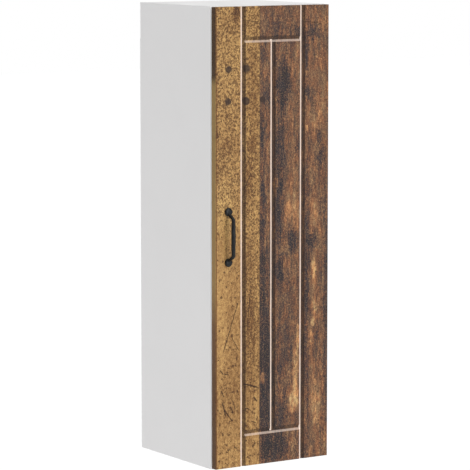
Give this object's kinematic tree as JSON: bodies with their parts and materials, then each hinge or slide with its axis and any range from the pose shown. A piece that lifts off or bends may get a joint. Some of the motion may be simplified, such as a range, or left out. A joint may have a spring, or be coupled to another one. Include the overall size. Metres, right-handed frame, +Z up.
{
  "type": "hanging wall cabinet",
  "caption": "Tall narrow wall cabinet in white board, with one grooved old-wood door on concealed hinges, a black bow handle, and shelves inside.",
  "frame": {"origin": "midway between the two wall fixing holes, in the plane of the wall", "axes": "+Z up, -Y out of the wall through the door, +X to the right when facing the door"},
  "size_m": [0.295, 0.3358, 1],
  "materials": {
    "white_board": "white melamine, fine satin",
    "white_back": "white lacquered hardboard, smooth",
    "old_wood_front": "printed old-wood foil, satin, planks from golden to dark brown",
    "black_casting": "black, slightly rough casting",
    "white_plastic": "matt",
    "beech": "raw, fluted",
    "clear_buffer": "soft clear plastic",
    "zinc": "zinc plated",
    "steel": "bright zinc plated steel",
    "yellow_zinc_screw": "yellow passivated steel",
    "nickel": "nickel plated steel"
  },
  "bodies": {
    "carcass": {"side_left": "white_board", "side_right": "white_board", "top_panel": "white_board", "bottom_panel": "white_board", "back_panel": "white_back", "hanging_rail": "white_board", "shelf_1": "white_board", "shelf_2": "white_board", "shelf_pins": "steel", "cam_locks": "zinc", "cam_bolts": "steel", "cam_covers": "white_plastic", "dowels": "beech", "back_nails": "steel", "hanging_plate_left": "zinc", "hanging_plate_right": "zinc", "hanging_plate_screws": "yellow_zinc_screw", "hinge_arm_top": "nickel", "hinge_arm_middle": "nickel", "hinge_arm_bottom": "nickel", "hinge_plate_top": "nickel", "hinge_plate_middle": "nickel", "hinge_plate_bottom": "nickel", "hinge_plate_screws": "steel", "hinge_adjusting_screws": "steel", "hinge_arm_pins": "steel"},
    "outer_links": {"outer_link_top": "nickel", "outer_link_middle": "nickel", "outer_link_bottom": "nickel"},
    "door": {"door_panel": "old_wood_front", "handle": "black_casting", "handle_screws": "steel", "door_buffers": "clear_buffer", "hinge_cup_top": "nickel", "hinge_cup_middle": "nickel", "hinge_cup_bottom": "nickel", "hinge_cup_screws": "yellow_zinc_screw", "hinge_cup_pins": "steel"},
    "inner_links": {"inner_link_top": "nickel", "inner_link_middle": "nickel", "inner_link_bottom": "nickel"}
  },
  "joints": [
    {"name": "outer_link_pivot", "type": "hinge", "parent": "carcass", "child": "outer_links", "pos_m": [0.1135, -0.2763, -0.4435], "axis": [0, 0, 1], "range_deg": [-29.7, 0]},
    {"name": "door_hinge", "type": "hinge", "parent": "outer_links", "child": "door", "pos_m": [0.1368, -0.2968, -0.4435], "axis": [0, 0, 1], "range_deg": [0, 124.6]},
    {"name": "inner_link_pivot", "type": "hinge", "parent": "carcass", "child": "inner_links", "pos_m": [0.1162, -0.2977, -0.4435], "axis": [0, 0, 1], "range_deg": [-40.4, 0]}
  ],
  "couplings": [
    {"joint": "outer_link_pivot", "follows": "door_hinge", "ratio": -0.2378},
    {"joint": "inner_link_pivot", "follows": "door_hinge", "ratio": -0.32393}
  ]
}
